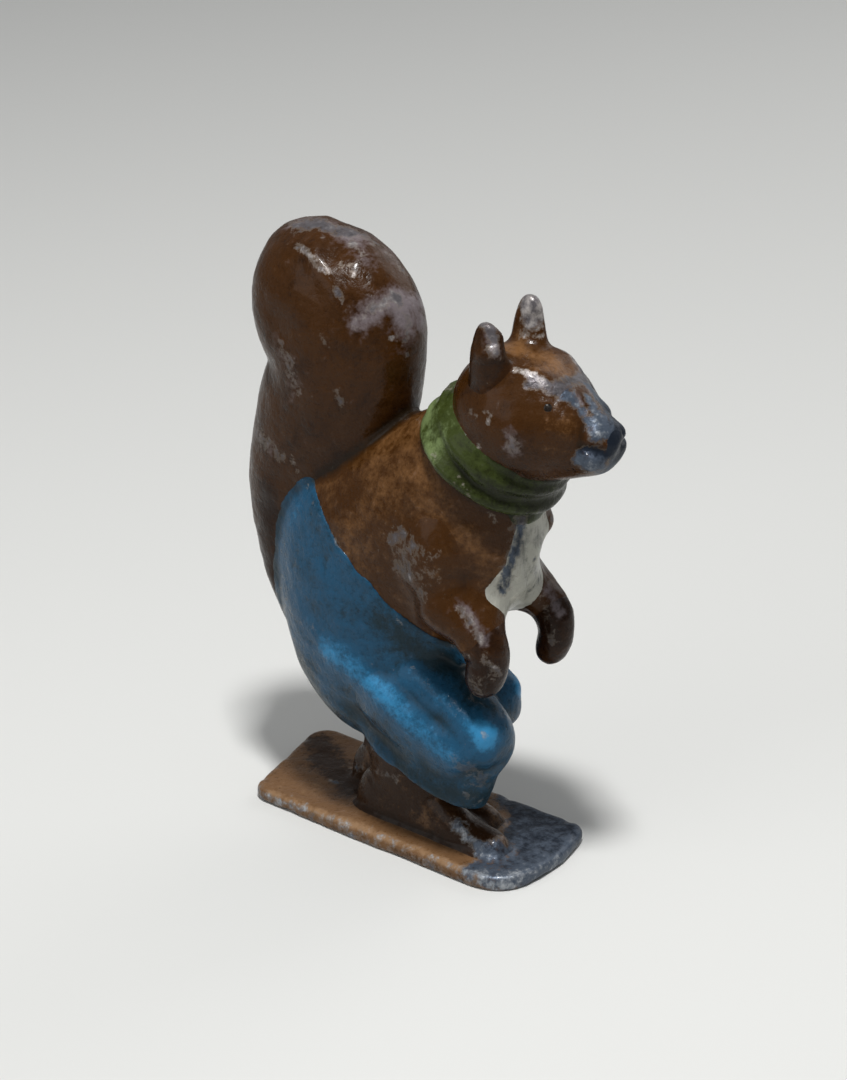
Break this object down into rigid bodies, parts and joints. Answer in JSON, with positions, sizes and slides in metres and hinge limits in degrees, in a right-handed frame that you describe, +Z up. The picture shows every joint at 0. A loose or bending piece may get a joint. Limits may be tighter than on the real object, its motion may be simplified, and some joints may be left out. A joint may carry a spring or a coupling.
{
  "type": "squirrel figurine",
  "caption": "Small painted metal squirrel in blue trousers and a green scarf, crouched on a flat base plate with its tail raised behind, for display on a shelf.",
  "frame": {"origin": "middle of the base plate's flat underside", "axes": "+Z up, the squirrel looks along -Y and its left side is +X"},
  "size_m": [0.0155, 0.0408, 0.0585],
  "materials": {
    "base_enamel": "tan-brown gloss enamel, hand brushed, chipped to bare lead along the edges",
    "brown_enamel": "warm brown gloss enamel, hand brushed, worn to bare lead on the high spots",
    "blue_enamel": "mid-blue gloss enamel, hand brushed, speckled and rubbed",
    "green_enamel": "grass-green gloss enamel, hand brushed, darker in the folds",
    "white_enamel": "off-white enamel, streaked with bare dark metal",
    "worn_enamel": "brown enamel rubbed through to dark blue-grey lead with a dull sheen",
    "eye_enamel": "dark gloss enamel"
  },
  "bodies": {
    "root": {"base_plate": "base_enamel", "left_foot": "base_enamel", "right_foot": "base_enamel", "trouser_seat": "blue_enamel", "left_trouser_leg": "blue_enamel", "right_trouser_leg": "blue_enamel", "torso": "brown_enamel", "shirt_front": "white_enamel", "scarf": "green_enamel", "head": "brown_enamel", "muzzle": "worn_enamel", "lower_jaw": "worn_enamel", "nose": "worn_enamel", "left_ear": "brown_enamel", "right_ear": "brown_enamel", "left_eye": "eye_enamel", "right_eye": "eye_enamel", "left_arm": "brown_enamel", "right_arm": "brown_enamel", "left_paw": "brown_enamel", "right_paw": "brown_enamel", "tail_stem": "brown_enamel", "tail_plume": "brown_enamel"}
  },
  "joints": []
}
